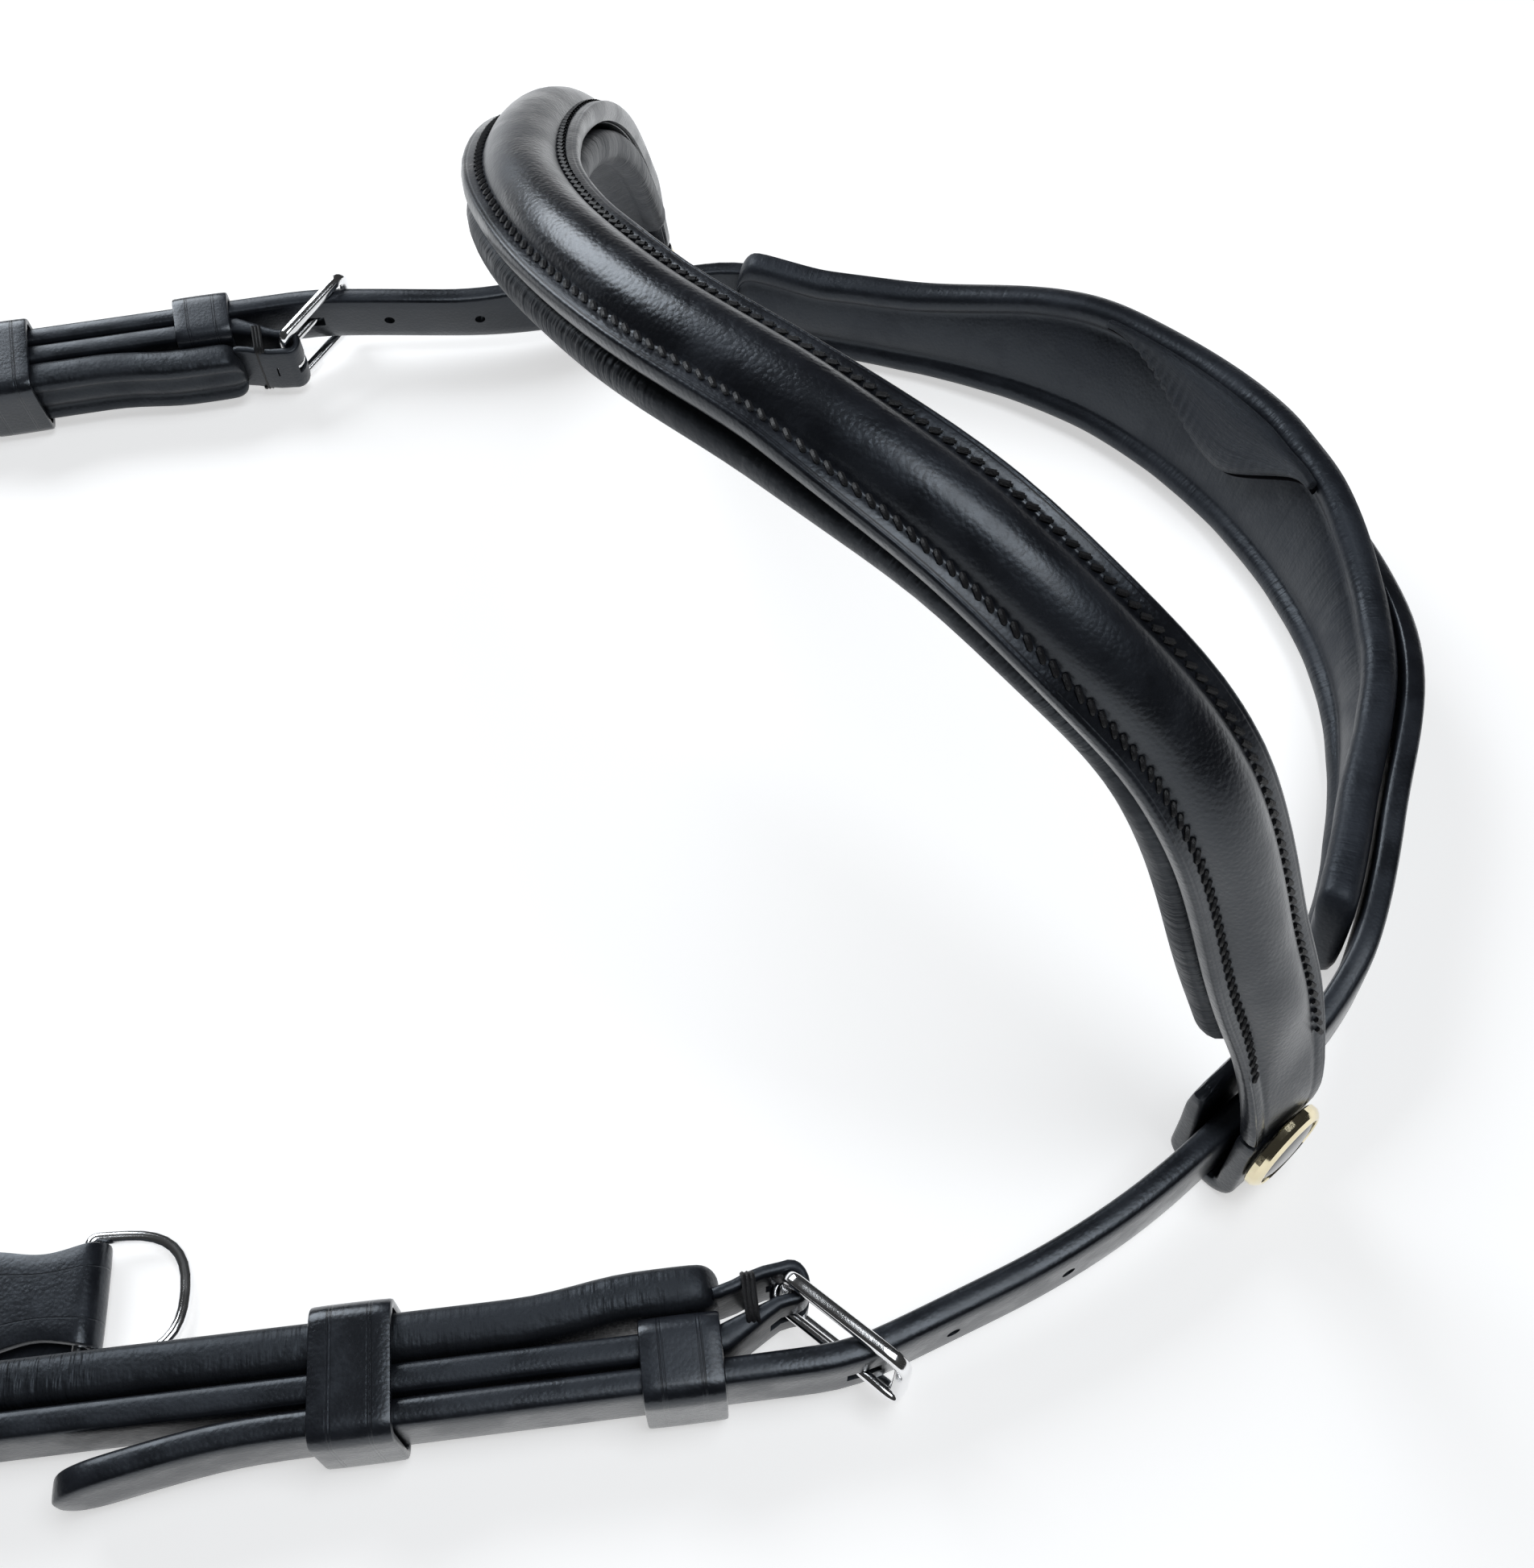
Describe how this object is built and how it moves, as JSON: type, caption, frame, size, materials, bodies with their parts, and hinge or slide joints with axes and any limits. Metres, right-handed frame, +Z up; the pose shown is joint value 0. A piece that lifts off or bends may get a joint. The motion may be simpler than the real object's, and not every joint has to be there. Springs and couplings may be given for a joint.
{
  "type": "anatomic bridle",
  "caption": "Black padded anatomic bridle lying on a table, with shaped headpiece, raised curved browband, buckled cheekpieces and a noseband front with rings.",
  "frame": {"origin": "on the table, under the middle of the bridle's box", "axes": "+X from the bit ends of the cheekpieces towards the poll, +Y from the near side to the far side, +Z up"},
  "size_m": [0.4528, 0.281, 0.1271],
  "materials": {
    "bridle_leather": "smooth black bridle leather, softly glossy",
    "lining_leather": "soft matt black lining leather",
    "chrome": "polished",
    "gold": "polished pale gold plate",
    "black_enamel": "plain glossy domed enamel"
  },
  "bodies": {
    "bridle": {"crown_strap": "bridle_leather", "headpiece_lining": "lining_leather", "poll_pad": "lining_leather", "browband_front": "bridle_leather", "browband_lining": "lining_leather", "nose_front": "bridle_leather", "nose_lining": "lining_leather", "near_cheek_strap": "bridle_leather", "near_cheek_lining": "lining_leather", "near_fixed_keeper": "bridle_leather", "near_bit_keeper": "bridle_leather", "near_ring_tab": "bridle_leather", "near_stud_bezel": "gold", "near_stud_inlay": "black_enamel", "far_cheek_strap": "bridle_leather", "far_cheek_lining": "lining_leather", "far_fixed_keeper": "bridle_leather", "far_bit_keeper": "bridle_leather", "far_ring_tab": "bridle_leather", "far_stud_bezel": "gold", "far_stud_inlay": "black_enamel"},
    "near_buckle_frame": {"near_buckle_frame": "chrome"},
    "near_buckle_tongue": {"near_buckle_tongue": "chrome"},
    "near_runner": {"near_runner_keeper": "bridle_leather"},
    "near_ring": {"near_ring": "chrome"},
    "far_buckle_frame": {"far_buckle_frame": "chrome"},
    "far_buckle_tongue": {"far_buckle_tongue": "chrome"},
    "far_runner": {"far_runner_keeper": "bridle_leather"},
    "far_ring": {"far_ring": "chrome"}
  },
  "joints": [
    {"name": "near_buckle_swing", "type": "hinge", "parent": "bridle", "child": "near_buckle_frame", "pos_m": [0.1075, -0.1046, 0.0096], "axis": [0.0051, -0.0418, 0.9991], "range_deg": [-3, 3]},
    {"name": "near_tongue_swing", "type": "hinge", "parent": "near_buckle_frame", "child": "near_buckle_tongue", "pos_m": [0.1075, -0.1046, 0.0096], "axis": [0.0051, -0.0418, 0.9991], "range_deg": [-1.5, 1.5]},
    {"name": "near_runner_slide", "type": "slide", "parent": "bridle", "child": "near_runner", "axis": [0.9925, 0.1219, 0], "range_m": [0, 0.014]},
    {"name": "near_ring_turn", "type": "hinge", "parent": "bridle", "child": "near_ring", "pos_m": [-0.0011, -0.1034, 0.0036], "axis": [0.1219, -0.9925, 0], "range_deg": [0, 150]},
    {"name": "far_buckle_swing", "type": "hinge", "parent": "bridle", "child": "far_buckle_frame", "pos_m": [-0.003, 0.1086, 0.0095], "axis": [0.0544, -0.2357, 0.9703], "range_deg": [-3, 3]},
    {"name": "far_tongue_swing", "type": "hinge", "parent": "far_buckle_frame", "child": "far_buckle_tongue", "pos_m": [-0.003, 0.1086, 0.0095], "axis": [0.0544, -0.2357, 0.9703], "range_deg": [-1.5, 1.5]},
    {"name": "far_runner_slide", "type": "slide", "parent": "bridle", "child": "far_runner", "axis": [0.9744, 0.225, 0], "range_m": [0, 0.014]},
    {"name": "far_ring_turn", "type": "hinge", "parent": "bridle", "child": "far_ring", "pos_m": [-0.0873, 0.071, 0.0036], "axis": [0.2588, -0.9659, 0], "range_deg": [0, 150]}
  ]
}
